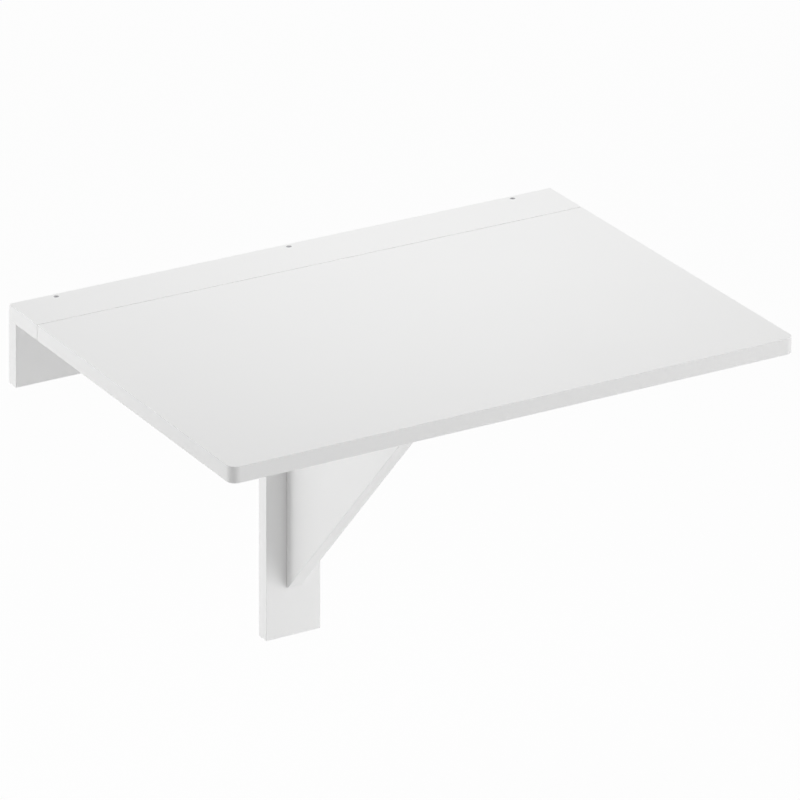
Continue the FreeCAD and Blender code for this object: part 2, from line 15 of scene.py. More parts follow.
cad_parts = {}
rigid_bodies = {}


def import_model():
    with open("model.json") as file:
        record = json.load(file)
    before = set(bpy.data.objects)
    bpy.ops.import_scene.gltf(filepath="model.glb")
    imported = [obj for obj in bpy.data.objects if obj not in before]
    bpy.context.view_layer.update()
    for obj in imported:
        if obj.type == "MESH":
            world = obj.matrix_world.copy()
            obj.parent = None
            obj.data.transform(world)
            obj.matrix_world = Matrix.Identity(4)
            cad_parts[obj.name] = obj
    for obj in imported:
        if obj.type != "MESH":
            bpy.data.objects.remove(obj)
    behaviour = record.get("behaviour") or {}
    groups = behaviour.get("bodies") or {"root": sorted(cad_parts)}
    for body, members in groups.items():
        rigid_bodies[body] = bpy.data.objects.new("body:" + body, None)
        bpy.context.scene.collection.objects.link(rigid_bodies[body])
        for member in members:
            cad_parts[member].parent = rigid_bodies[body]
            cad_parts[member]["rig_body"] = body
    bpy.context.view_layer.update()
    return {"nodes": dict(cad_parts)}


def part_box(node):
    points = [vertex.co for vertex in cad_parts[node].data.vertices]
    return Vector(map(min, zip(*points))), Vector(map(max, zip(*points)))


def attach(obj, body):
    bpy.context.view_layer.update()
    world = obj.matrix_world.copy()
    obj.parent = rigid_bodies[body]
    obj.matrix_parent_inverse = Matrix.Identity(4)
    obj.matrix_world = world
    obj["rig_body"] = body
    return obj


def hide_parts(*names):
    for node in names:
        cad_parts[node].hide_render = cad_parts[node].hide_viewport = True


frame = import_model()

log = logging.getLogger("drop_leaf_table")
Triple = tuple[float, float, float]
Pair = tuple[float, float]
Mesh = bmesh.types.BMesh
Loop = list[bmesh.types.BMVert]

MM = 0.001
# Points that are nearer to each other than this, in millimetres, are one point.
WELD = 0.001
NO_SHIFT = (0.0, 0.0, 0.0)
EVEN = (1.0, 1.0, 1.0)
WHITE = (1.0, 1.0, 1.0, 1.0)


class Axis(Enum):
    """Directions of the part's frame."""

    ALONG_WALL = (1.0, 0.0, 0.0)
    OUT_OF_WALL = (0.0, 1.0, 0.0)
    UPRIGHT = (0.0, 0.0, 1.0)

    def drawn_out(self, share: float) -> Triple:
        """Gives the scale that draws a pattern out along this axis, where 1 leaves it as it is."""
        x, y, z = (1.0 - part * (1.0 - share) for part in self.value)
        return x, y, z


class Facing(Enum):
    """Where the heads of a set of screws face."""

    UP = (0.0, 0.0, 1.0)
    DOWN = (0.0, 0.0, -1.0)
    FRONT = (0.0, -1.0, 0.0)
    RIGHT = (1.0, 0.0, 0.0)


class Slot(Enum):
    """Material slots of the record."""

    HINGE_STEEL = "hinge_steel"
    SCREW_STEEL = "screw_steel"
    DOWEL_WOOD = "dowel_wood"


# Node trees


@dataclass
class NodeSheet:
    """A node tree, with short calls to add and join nodes."""

    tree: bpy.types.NodeTree

    def add(self, kind: str, inputs: dict[str, Any] | None = None, **settings: Any) -> bpy.types.Node:
        """Adds a node.

        Args:
            kind: Node type.
            inputs: Input name to a value, or to the socket that feeds it.
            settings: Properties of the node itself.

        Returns:
            The new node.
        """
        node = self.tree.nodes.new(kind)
        for name, value in settings.items():
            setattr(node, name, value)
        for name, value in (inputs or {}).items():
            self.feed(node.inputs[name], value)
        return node

    def feed(self, socket: bpy.types.NodeSocket, value: Any) -> None:
        """Joins a socket to another one, or sets its value.

        Args:
            socket: Input to feed.
            value: Value or socket.
        """
        if isinstance(value, bpy.types.NodeSocket):
            self.tree.links.new(value, socket)
        else:
            socket.default_value = value

    def math(self, operation: str, first: Any, second: Any = 0.0) -> bpy.types.NodeSocket:
        """Adds a calculation on two values.

        Args:
            operation: Name of the operation.
            first: Value or socket.
            second: Value or socket.

        Returns:
            The result's socket.
        """
        node = self.add("ShaderNodeMath", operation=operation)
        self.feed(node.inputs[0], first)
        self.feed(node.inputs[1], second)
        return node.outputs[0]

    def mix_shaders(self, share: Any, first: bpy.types.Node, second: bpy.types.Node) -> bpy.types.Node:
        """Mixes two shaders.

        Args:
            share: Value or socket that gives the second shader's share.
            first: Shader node.
            second: Shader node.

        Returns:
            The mixing node.
        """
        mixed = self.add("ShaderNodeMixShader")
        for socket, value in zip(mixed.inputs, (share, first.outputs[0], second.outputs[0])):
            self.feed(socket, value)
        return mixed

    def noise(self, vector: Any, scale: Any, detail: float, roughness: float = 0.5) -> bpy.types.NodeSocket:
        """Adds a cloudy noise, with finer layers of a given number and strength, and gives its socket."""
        inputs = {"Vector": vector, "Scale": scale, "Detail": detail, "Roughness": roughness}
        return self.add("ShaderNodeTexNoise", inputs).outputs["Fac"]

    def spread(self, value: Any, source: Pair, target: tuple[Any, Any] = (0.0, 1.0)) -> bpy.types.NodeSocket:
        """Maps one range of values to another, holds what lies past its ends, and gives the socket."""
        inputs = dict(zip(("From Min", "From Max", "To Min", "To Max"), (*source, *target)))
        return self.add("ShaderNodeMapRange", {"Value": value, **inputs}).outputs["Result"]

    def group(self, group: bpy.types.NodeTree, inputs: dict[str, Any]) -> bpy.types.NodeSocket:
        """Places a shared effect, and gives its output."""
        return self.add("ShaderNodeGroup", inputs, node_tree=group).outputs[0]


class Effects:
    """Effects that several finishes share, each a node group that is built once."""

    # Stretches of a noise that come out as soft patches, and as crisp streaks.
    SOFT: Pair = (0.3, 0.7)
    CRISP: Pair = (0.35, 0.65)
    GRAIN_FINENESS = 5.0
    # Sockets with these names are of these kinds, and all others hold a plain value.
    SOCKET_KINDS = {"Vector": "NodeSocketVector", "Colour": "NodeSocketColor"}

    def __init__(self) -> None:
        """Builds the groups."""
        self.tone_drift = self._tone_drift()
        self.relief = self._relief()
        self.streaks = self._streaks()
        self.patchy_gloss = self._patchy_gloss()

    def _open(self, name: str, inputs: Sequence[str], output: str) -> tuple[NodeSheet, Any, Any]:
        """Starts a group.

        Args:
            name: Group name.
            inputs: Input names.
            output: Output name.

        Returns:
            The group's sheet, its input sockets by name, and its output socket.
        """
        tree = bpy.data.node_groups.new(name, "ShaderNodeTree")
        for way, sockets in (("INPUT", inputs), ("OUTPUT", (output,))):
            for socket in sockets:
                kind = self.SOCKET_KINDS.get(socket, "NodeSocketFloat")
                tree.interface.new_socket(socket, in_out=way, socket_type=kind)
        sheet = NodeSheet(tree)
        return sheet, sheet.add("NodeGroupInput").outputs, sheet.add("NodeGroupOutput").inputs[output]

    def _tone_drift(self) -> bpy.types.NodeTree:
        """Lets a colour drift a little darker in broad soft patches.

        Returns:
            The node group.
        """
        inputs = ("Vector", "Colour", "Scale", "Amount")
        sheet, given, result = self._open("tone_drift", inputs, "Colour")
        noise = sheet.noise(given["Vector"], given["Scale"], detail=3.0)
        darkest = sheet.math("SUBTRACT", 1.0, given["Amount"])
        level = sheet.spread(noise, self.SOFT, (darkest, 1.0))
        shade = sheet.add("ShaderNodeHueSaturation", {"Value": level, "Color": given["Colour"]})
        sheet.feed(result, shade.outputs["Color"])
        return sheet.tree

    def _relief(self) -> bpy.types.NodeTree:
        """Gives a fine pebbled height with a share of still finer grain.

        Returns:
            The node group.
        """
        sheet, given, result = self._open("relief", ("Vector", "Scale", "Grain Share"), "Height")
        pebble = sheet.noise(given["Vector"], given["Scale"], detail=1.0)
        finer = sheet.math("MULTIPLY", given["Scale"], self.GRAIN_FINENESS)
        grain = sheet.noise(given["Vector"], finer, detail=2.0)
        added = sheet.math("MULTIPLY", grain, given["Grain Share"])
        sheet.feed(result, sheet.math("ADD", pebble, added))
        return sheet.tree

    def _streaks(self) -> bpy.types.NodeTree:
        """Gives fine streaks as a mask, on a vector that is drawn out along them.

        Returns:
            The node group.
        """
        sheet, given, result = self._open("streaks", ("Vector", "Scale"), "Mask")
        noise = sheet.noise(given["Vector"], given["Scale"], detail=4.0, roughness=0.65)
        sheet.feed(result, sheet.spread(noise, self.CRISP))
        return sheet.tree

    def _patchy_gloss(self) -> bpy.types.NodeTree:
        """Gives a roughness that varies in soft patches, as handling and wiping leave it.

        Returns:
            The node group.
        """
        inputs = ("Vector", "Scale", "Smooth", "Rough")
        sheet, given, result = self._open("patchy_gloss", inputs, "Roughness")
        noise = sheet.noise(given["Vector"], given["Scale"], detail=4.0)
        sheet.feed(result, sheet.spread(noise, self.SOFT, (given["Smooth"], given["Rough"])))
        return sheet.tree


# Finishes


def new_material(name: str) -> tuple[bpy.types.Material, NodeSheet, bpy.types.Node]:
    """Starts a material.

    Args:
        name: Material name.

    Returns:
        The material, its sheet and its shader.
    """
    material = bpy.data.materials.new(name)
    material.use_nodes = True
    sheet = NodeSheet(material.node_tree)
    return material, sheet, material.node_tree.nodes["Principled BSDF"]


def pattern_vector(sheet: NodeSheet, scale: Triple, shift: Triple) -> bpy.types.NodeSocket:
    """Gives the vector that a piece's pattern follows.

    Args:
        sheet: The material's sheet.
        scale: Scale for each axis.
        shift: Moves the pattern, so that no two pieces show the same patch of it.

    Returns:
        The vector's socket.
    """
    coordinates = sheet.add("ShaderNodeTexCoord")
    mapping = sheet.add("ShaderNodeMapping", {"Vector": coordinates.outputs["Object"], "Location": shift,
                                              "Scale": scale})
    return mapping.outputs["Vector"]


def finish_surface(sheet: NodeSheet, shader: bpy.types.Node, colour: Any, roughness: Any, height: Any,
                   depth: float) -> None:
    """Feeds a shader with what a finish consists of.

    Args:
        sheet: The material's sheet.
        shader: Its shader.
        colour: Socket of the colour.
        roughness: Value or socket.
        height: Socket of the surface's height.
        depth: How deep that height goes, in metres.
    """
    bump = sheet.add("ShaderNodeBump", {"Height": height, "Distance": depth})
    sheet.feed(shader.inputs["Base Color"], colour)
    sheet.feed(shader.inputs["Roughness"], roughness)
    sheet.feed(shader.inputs["Normal"], bump.outputs["Normal"])


@dataclass(frozen=True, kw_only=True)
class Finish:
    """What most finishes have in common: a colour that drifts a little, and a gloss that varies."""

    colour: Triple
    drift: float
    drift_scale: float
    smooth: float
    rough: float
    gloss_scale: float

    def colour_and_gloss(self, sheet: NodeSheet, effects: Effects,
                         vector: bpy.types.NodeSocket) -> tuple[bpy.types.NodeSocket, bpy.types.NodeSocket]:
        """Lays the colour and the gloss.

        Args:
            sheet: The material's sheet.
            effects: Shared effects.
            vector: Socket of the vector that their patches follow.

        Returns:
            Sockets of the colour and of the roughness.
        """
        colour = sheet.group(effects.tone_drift, {"Vector": vector, "Colour": (*self.colour, 1.0),
                                                  "Scale": self.drift_scale, "Amount": self.drift})
        gloss = sheet.group(effects.patchy_gloss, {"Vector": vector, "Scale": self.gloss_scale,
                                                   "Smooth": self.smooth, "Rough": self.rough})
        return colour, gloss


@dataclass(frozen=True, kw_only=True)
class SatinLacquer(Finish):
    """White satin lacquer, sprayed on smooth board, with fibres that stand up a little on its cut edges."""

    colour: Triple = (0.9, 0.9, 0.897)
    drift: float = 0.012
    drift_scale: float = 2.5
    smooth: float = 0.4
    rough: float = 0.5
    gloss_scale: float = 9.0
    peel_scale: float = 420.0
    peel_height: float = 0.000014
    peel_grain_share: float = 0.15
    fibre_scale: float = 700.0
    fibre_share: float = 0.5
    fibre_run: float = 0.18
    edge_blend: Pair = (0.3, 0.8)

    def material(self, name: str, effects: Effects, run: Axis, thickness: Axis,
                 shift: Triple) -> bpy.types.Material:
        """Builds the finish of one board.

        Args:
            name: Material name.
            effects: Shared effects.
            run: Axis along the board's length.
            thickness: Axis across the board's thickness.
            shift: Moves the pattern from board to board.

        Returns:
            The material.
        """
        material, sheet, shader = new_material(name)
        even = pattern_vector(sheet, EVEN, shift)
        drawn = pattern_vector(sheet, run.drawn_out(self.fibre_run), shift)
        colour, gloss = self.colour_and_gloss(sheet, effects, even)
        peel = sheet.group(effects.relief, {"Vector": even, "Scale": self.peel_scale,
                                            "Grain Share": self.peel_grain_share})
        fibres = sheet.group(effects.streaks, {"Vector": drawn, "Scale": self.fibre_scale})
        edges = self._cut_edges(sheet, thickness)
        lifted = sheet.math("MULTIPLY", sheet.math("MULTIPLY", fibres, edges), self.fibre_share)
        finish_surface(sheet, shader, colour, gloss, sheet.math("ADD", peel, lifted), self.peel_height)
        return material

    def _cut_edges(self, sheet: NodeSheet, thickness: Axis) -> bpy.types.NodeSocket:
        """Marks the board's cut edges, which don't face along its thickness.

        Args:
            sheet: The material's sheet.
            thickness: Axis across the board's thickness.

        Returns:
            The mask's socket.
        """
        coordinates = sheet.add("ShaderNodeTexCoord")
        facing = sheet.add("ShaderNodeVectorMath", operation="DOT_PRODUCT")
        sheet.feed(facing.inputs[0], coordinates.outputs["Normal"])
        sheet.feed(facing.inputs[1], thickness.value)
        squared = sheet.math("MULTIPLY", facing.outputs["Value"], facing.outputs["Value"])
        return sheet.spread(squared, self.edge_blend, (1.0, 0.0))


@dataclass(frozen=True, kw_only=True)
class DrawnSteel(Finish):
    """Steel with fine lines along the way that it was drawn or brushed."""

    drift_scale: float = 130.0
    gloss_scale: float = 220.0
    line_scale: float = 2600.0
    line_run: float = 0.02
    line_depth: float = 0.000012

    def material(self, name: str, effects: Effects, run: Axis) -> bpy.types.Material:
        """Builds the finish.

        Args:
            name: Material name.
            effects: Shared effects.
            run: Axis that the lines follow.

        Returns:
            The material.
        """
        material, sheet, shader = new_material(name)
        even = pattern_vector(sheet, EVEN, NO_SHIFT)
        drawn = pattern_vector(sheet, run.drawn_out(self.line_run), NO_SHIFT)
        lines = sheet.group(effects.streaks, {"Vector": drawn, "Scale": self.line_scale})
        colour, gloss = self.colour_and_gloss(sheet, effects, even)
        finish_surface(sheet, shader, colour, gloss, lines, self.line_depth)
        shader.inputs["Metallic"].default_value = 1.0
        return material


@dataclass(frozen=True, kw_only=True)
class MouldedPlastic(Finish):
    """Off-white moulded plastic with a fine spark-eroded texture."""

    colour: Triple = (0.8, 0.798, 0.785)
    drift: float = 0.02
    drift_scale: float = 40.0
    smooth: float = 0.5
    rough: float = 0.62
    gloss_scale: float = 60.0
    texture_scale: float = 1500.0
    texture_height: float = 0.00003
    texture_grain_share: float = 0.4

    def material(self, name: str, effects: Effects) -> bpy.types.Material:
        """Builds the finish.

        Args:
            name: Material name.
            effects: Shared effects.

        Returns:
            The material.
        """
        material, sheet, shader = new_material(name)
        even = pattern_vector(sheet, EVEN, NO_SHIFT)
        colour, gloss = self.colour_and_gloss(sheet, effects, even)
        height = sheet.group(effects.relief, {"Vector": even, "Scale": self.texture_scale,
                                              "Grain Share": self.texture_grain_share})
        finish_surface(sheet, shader, colour, gloss, height, self.texture_height)
        return material


@dataclass(frozen=True)
class BareBeech:
    """Bare beech with short dark flecks along its grain."""

    pale: Triple = (0.66, 0.49, 0.31)
    dark: Triple = (0.47, 0.31, 0.17)
    roughness: float = 0.62
    fleck_scale: float = 700.0
    fleck_run: float = 0.08
    fleck_depth: float = 0.00004
    drift: float = 0.12
    drift_scale: float = 60.0

    def material(self, name: str, effects: Effects, run: Axis) -> bpy.types.Material:
        """Builds the finish.

        Args:
            name: Material name.
            effects: Shared effects.
            run: Axis that the grain follows.

        Returns:
            The material.
        """
        material, sheet, shader = new_material(name)
        drawn = pattern_vector(sheet, run.drawn_out(self.fleck_run), NO_SHIFT)
        flecks = sheet.group(effects.streaks, {"Vector": drawn, "Scale": self.fleck_scale})
        ramp = sheet.add("ShaderNodeValToRGB", {"Fac": flecks})
        ramp.color_ramp.elements[0].color = (*self.dark, 1.0)
        ramp.color_ramp.elements[1].color = (*self.pale, 1.0)
        colour = sheet.group(effects.tone_drift, {"Vector": drawn, "Colour": ramp.outputs["Color"],
                                                  "Scale": self.drift_scale, "Amount": self.drift})
        finish_surface(sheet, shader, colour, self.roughness, flecks, self.fleck_depth)
        return material


class Palette:
    """The table's finishes, on one set of effects."""

    def __init__(self) -> None:
        """Builds the effects, and the materials that several pieces wear."""
        self._effects = Effects()
        self._lacquer = SatinLacquer()
        plated = DrawnSteel(colour=(0.63, 0.63, 0.64), drift=0.08, smooth=0.26, rough=0.36)
        dull = DrawnSteel(colour=(0.41, 0.41, 0.42), drift=0.15, smooth=0.34, rough=0.5)
        self.plated_steel = {axis: plated.material(f"plated_steel_{axis.name.lower()}", self._effects, axis)
                             for axis in (Axis.ALONG_WALL, Axis.UPRIGHT)}
        self.dull_steel = dull.material("dull_steel", self._effects, Axis.UPRIGHT)
        self.plastic = MouldedPlastic().material("moulded_plastic", self._effects)
        self.beech = BareBeech().material("bare_beech", self._effects, Axis.UPRIGHT)

    def lacquer(self, node: str, run: Axis, thickness: Axis, shift: Triple) -> bpy.types.Material:
        """Mixes the lacquer of one board."""
        return self._lacquer.material(f"lacquer_{node}", self._effects, run, thickness, shift)


# Meshes of small hardware, in millimetres about their own origin


@dataclass(frozen=True)
class Ring:
    """A ring of a turned piece: its level, its radius, and how deep a thread or flute can cut into it."""

    level: float
    radius: float
    groove: float = 0.0


def bridge(shape: Mesh, upper: Loop, lower: Loop) -> None:
    """Joins two loops of points with a band of faces.

    Args:
        shape: Mesh that the loops are in.
        upper: Points of one loop.
        lower: As many points of the other.
    """
    for number, point in enumerate(upper):
        after = (number + 1) % len(upper)
        shape.faces.new((point, lower[number], lower[after], upper[after]))


def fill(shape: Mesh, loops: Sequence[Loop], normal: Triple) -> None:
    """Fills the area inside the first loop and outside the others.

    Args:
        shape: Mesh that the loops are in.
        loops: Outline first, then the holes in it.
        normal: Direction that the area faces.
    """
    edges = []
    for loop in loops:
        for pair in zip(loop, loop[1:] + loop[:1]):
            edges.append(shape.edges.get(pair) or shape.edges.new(pair))
    bmesh.ops.triangle_fill(shape, use_beauty=True, edges=edges, normal=normal)


def lay_loop(shape: Mesh, points: Sequence[Pair], level: float) -> Loop:
    """Lays a loop of points at a level of a mesh."""
    return [shape.verts.new((x, y, level)) for x, y in points]


def circle(middle: Pair, radius: float, count: int) -> list[Pair]:
    """Gives points round a circle.

    Args:
        middle: Its middle.
        radius: Its radius.
        count: How many points.

    Returns:
        The points, anticlockwise.
    """
    x, y = middle
    angles = [math.tau * number / count for number in range(count)]
    return [(x + radius * math.cos(angle), y + radius * math.sin(angle)) for angle in angles]


def turn(shape: Mesh, rings: Sequence[Ring], segments: int,
         cut: Callable[[float, float], float] = lambda angle, level: 0.0) -> list[Loop]:
    """Turns a piece about the z axis.

    Args:
        shape: Mesh that the piece goes into.
        rings: Its rings, from the top down.
        segments: Points round each ring.
        cut: Share of a ring's groove that is cut away at an angle and a level.

    Returns:
        The points of each ring.
    """
    loops = []
    for ring in rings:
        points = []
        for number in range(segments):
            angle = math.tau * number / segments
            radius = ring.radius - ring.groove * cut(angle, ring.level)
            points.append((radius * math.cos(angle), radius * math.sin(angle)))
        loops.append(lay_loop(shape, points, ring.level))
    for upper, lower in zip(loops, loops[1:]):
        bridge(shape, upper, lower)
    return loops


@dataclass(frozen=True)
class CountersunkScrew:
    """Cross-head wood screw: its head's face at the origin, its point down."""

    head_radius: float
    shank_radius: float
    length: float
    rim: float = 0.15
    point_share: float = 2.5
    pitch_share: float = 0.8
    thread_depth_share: float = 0.32
    recess_span_share: float = 0.65
    recess_width_share: float = 0.15
    recess_depth_share: float = 0.6
    foot_span_share: float = 0.5
    foot_width_share: float = 0.8
    tip_share: float = 0.15
    flank_slope: float = 1.6
    rings_per_turn: int = 4
    segments: int = 24

    def mesh(self) -> Mesh:
        """Models the screw.

        Returns:
            Its mesh.
        """
        shape = bmesh.new()
        loops = turn(shape, self._rings(), self.segments, self._thread)
        shape.faces.new(loops[-1])
        half_span = self.recess_span_share * self.head_radius
        half_width = self.recess_width_share * self.head_radius
        depth = self.recess_depth_share * (self.head_radius - self.shank_radius)
        wide = self._cross(half_span, half_width)
        narrow = self._cross(half_span * self.foot_span_share, half_width * self.foot_width_share)
        mouth = lay_loop(shape, wide, 0.0)
        foot = lay_loop(shape, narrow, -depth)
        fill(shape, (loops[0], mouth), (0.0, 0.0, 1.0))
        bridge(shape, mouth, foot)
        shape.faces.new(foot)
        return shape

    def _rings(self) -> list[Ring]:
        """Sets out the screw from its head down.

        Returns:
            Its rings.
        """
        neck = self.shank_radius - self.head_radius
        pitch = self.pitch_share * self.shank_radius
        depth = self.thread_depth_share * self.shank_radius
        point = self.point_share * self.shank_radius
        rings = [Ring(0.0, self.head_radius - 2 * self.rim), Ring(-self.rim, self.head_radius - self.rim),
                 Ring(neck, self.shank_radius)]
        threaded = self.length + neck - pitch
        steps = round(self.rings_per_turn * threaded / pitch)
        for step in range(steps + 1):
            level = neck - pitch - threaded * step / steps
            taper = min(1.0, self.tip_share + (1.0 - self.tip_share) * (self.length + level) / point)
            lead_in = min(1.0, step / self.rings_per_turn)
            rings.append(Ring(level, self.shank_radius * taper, depth * taper * lead_in))
        return rings

    def _thread(self, angle: float, level: float) -> float:
        """Gives the share of the thread's groove that is cut at an angle and a level."""
        turns = level / (self.pitch_share * self.shank_radius) + angle / math.tau
        return min(1.0, self.flank_slope * abs(2.0 * (turns % 1.0) - 1.0))

    @staticmethod
    def _cross(half_span: float, half_width: float) -> list[Pair]:
        """Gives the outline of a cross.

        Args:
            half_span: Middle to the end of an arm.
            half_width: Half the width of an arm.

        Returns:
            Its points, anticlockwise.
        """
        arm = ((half_span, -half_width), (half_span, half_width), (half_width, half_width))
        turns = ((1, 0), (0, 1), (-1, 0), (0, -1))
        return [(x * c - y * s, x * s + y * c) for c, s in turns for x, y in arm]


@dataclass(frozen=True)
class FlutedDowel:
    """Dowel with flutes for the glue and tapered ends, its middle at the origin."""

    radius: float = 4.0
    length: float = 40.0
    lead_in: float = 1.0
    flute_depth: float = 0.35
    flutes: int = 18
    points_per_flute: int = 4

    def mesh(self) -> Mesh:
        """Models the dowel.

        Returns:
            Its mesh.
        """
        end = self.length / 2
        slim = self.radius - self.lead_in
        rings = [Ring(end, slim), Ring(end - self.lead_in, self.radius, self.flute_depth),
                 Ring(self.lead_in - end, self.radius, self.flute_depth), Ring(-end, slim)]
        shape = bmesh.new()
        loops = turn(shape, rings, self.points_per_flute * self.flutes, self._flute)
        shape.faces.new(loops[0])
        shape.faces.new(loops[-1])
        return shape

    def _flute(self, angle: float, level: float) -> float:
        """Gives the share of a flute's depth that is cut at an angle, alike at every level."""
        return 0.5 - 0.5 * math.cos(self.flutes * angle)


@dataclass(frozen=True)
class HingePin:
    """Hinge pin with domed, riveted ends, along the z axis."""

    radius: float = 1.25
    length: float = 60.0
    head_radius: float = 1.9
    head_height: float = 0.8
    dome_reach: float = math.radians(85.0)
    dome_steps: int = 5
    segments: int = 24

    def mesh(self) -> Mesh:
        """Models the pin.

        Returns:
            Its mesh.
        """
        end = self.length / 2
        dome = []
        for step in range(self.dome_steps):
            rise = self.dome_reach * (1.0 - step / (self.dome_steps - 1))
            dome.append(Ring(end + self.head_height * math.sin(rise), self.head_radius * math.cos(rise)))
        upper = [*dome, Ring(end, self.radius)]
        lower = [Ring(-ring.level, ring.radius) for ring in reversed(upper)]
        shape = bmesh.new()
        loops = turn(shape, upper + lower, self.segments)
        shape.faces.new(loops[0])
        shape.faces.new(loops[-1])
        return shape


class PlateSide(Enum):
    """The plates of the hinges: the knuckles that each carries, and where its x, y and z axes lie."""

    STRIP = ("strip_plate", (0, 2, 4), ((1, 0, 0), (0, 1, 0), (0, 0, 1)))
    LEAF = ("leaf_plate", (1, 3), ((-1, 0, 0), (0, -1, 0), (0, 0, 1)))
    POST = ("post_plate", (0, 2, 4), ((0, 0, 1), (1, 0, 0), (0, 1, 0)))
    BRACKET = ("bracket_plate", (1, 3), ((0, 0, -1), (0, -1, 0), (-1, 0, 0)))

    def __init__(self, piece: str, knuckles: tuple[int, ...], axes: tuple[Triple, Triple, Triple]) -> None:
        """Names the parts of a choice.

        Args:
            piece: End of the node's name.
            knuckles: Numbers of its knuckles along the pin.
            axes: Directions of its x, y and z axes.
        """
        self.piece = piece
        self.knuckles = knuckles
        self.axes = axes


@dataclass(frozen=True)
class RolledPlate:
    """Plate whose edge is rolled into knuckles: its flat side at level 0, with the pin along x below it."""

    length: float = 60.0
    width: float = 22.0
    thickness: float = 1.5
    corner_radius: float = 2.5
    corner_steps: int = 5
    pin_drop: float = 2.8
    knuckle_radius: float = 2.5
    bore_radius: float = 1.3
    knuckle_count: int = 5
    knuckle_gap: float = 0.3
    # Shape of the roll, its angles in degrees about the pin.
    flat_share: float = 0.6
    lead_in_shares: tuple[Pair, ...] = ((75.0, 1.0), (90.0, 0.4), (105.0, 0.1))
    roll_start: float = 120.0
    roll_end: float = 384.0
    bore_end: float = 90.0
    roll_steps: int = 22
    # Screw holes, placed by shares of the plate's length and width.
    hole_radius: float = 1.55
    seat_radius: float = 3.05
    hole_shares: tuple[Pair, ...] = ((-0.34, 0.64), (0.0, 0.36), (0.34, 0.64))
    hole_points: int = 24

    def mesh(self, side: PlateSide) -> Mesh:
        """Models the plate.

        Args:
            side: Which of the plates it is.

        Returns:
            Its mesh.
        """
        shape = bmesh.new()
        spans = [self._span(number) for number in side.knuckles]
        self._add_sheet(shape, spans)
        for span in spans:
            self._add_knuckle(shape, span)
        bmesh.ops.remove_doubles(shape, verts=shape.verts, dist=WELD)
        return shape

    def _span(self, number: int) -> Pair:
        """Gives the start and end of a knuckle along the pin.

        Args:
            number: Its place along the pin.

        Returns:
            Start and end.
        """
        long = (self.length - (self.knuckle_count - 1) * self.knuckle_gap) / self.knuckle_count
        start = number * (long + self.knuckle_gap) - self.length / 2
        return start, start + long

    def _add_sheet(self, shape: Mesh, spans: Sequence[Pair]) -> None:
        """Adds the flat sheet with its screw holes, left open where the knuckles join it.

        Args:
            shape: Mesh that it goes into.
            spans: Starts and ends of the knuckles.
        """
        half, near = self.length / 2, self.pin_drop
        inner = {-half, half, *(place for span in spans for place in span)}
        outline = [(x, near) for x in sorted(inner)]
        for x, first in ((half - self.corner_radius, 0), (self.corner_radius - half, 90)):
            y = near + self.width - self.corner_radius
            for step in range(self.corner_steps + 1):
                turned = math.radians(first + 90 * step / self.corner_steps)
                outline.append((x + self.corner_radius * math.cos(turned),
                                y + self.corner_radius * math.sin(turned)))
        upper = lay_loop(shape, outline, 0.0)
        lower = lay_loop(shape, outline, -self.thickness)
        for number, (here, after) in enumerate(zip(outline, outline[1:] + outline[:1])):
            if here[1] == after[1] == near and (here[0], after[0]) in spans:
                continue
            following = (number + 1) % len(outline)
            shape.faces.new((upper[number], lower[number], lower[following], upper[following]))
        upper_loops, lower_loops = [upper], [lower]
        for along, out in self.hole_shares:
            middle = (along * self.length, near + out * self.width)
            hole = circle(middle, self.hole_radius, self.hole_points)
            seat = circle(middle, self.seat_radius, self.hole_points)
            upper_loops.append(lay_loop(shape, hole, 0.0))
            lower_loops.append(lay_loop(shape, seat, -self.thickness))
            bridge(shape, upper_loops[-1], lower_loops[-1])
        fill(shape, upper_loops, (0.0, 0.0, 1.0))
        fill(shape, lower_loops, (0.0, 0.0, -1.0))

    def _add_knuckle(self, shape: Mesh, span: Pair) -> None:
        """Adds one knuckle, rolled from the sheet round the pin until it nearly meets the sheet again.

        Args:
            shape: Mesh that it goes into.
            span: Its start and end along the pin.
        """
        profile = self._roll()
        ends = [[shape.verts.new((x, y, z)) for y, z in profile] for x in span]
        for number in range(len(profile) - 1):
            shape.faces.new((ends[0][number], ends[0][number + 1], ends[1][number + 1], ends[1][number]))
        for end in ends:
            shape.faces.new(end)

    def _roll(self) -> list[Pair]:
        """Sets out the rolled edge in section, from the sheet's flat side round to its other side.

        Returns:
            Places out from the pin and up.
        """
        def at(angle: float, radius: float) -> Pair:
            """Gives the place at an angle and a radius about the pin."""
            turned = math.radians(angle)
            return radius * math.cos(turned), radius * math.sin(turned) - self.pin_drop

        spare = self.pin_drop - self.knuckle_radius
        outside = [(self.pin_drop, 0.0), (self.flat_share * self.pin_drop, 0.0)]
        outside += [at(angle, self.knuckle_radius + share * spare) for angle, share in self.lead_in_shares]
        inside = []
        for step in range(self.roll_steps + 1):
            out = self.roll_start + (self.roll_end - self.roll_start) * step / self.roll_steps
            back = self.roll_end + (self.bore_end - self.roll_end) * step / self.roll_steps
            outside.append(at(out, self.knuckle_radius))
            inside.append(at(back, self.bore_radius))
        return [*outside, *inside, (self.pin_drop, -self.thickness)]


# Placing and dressing


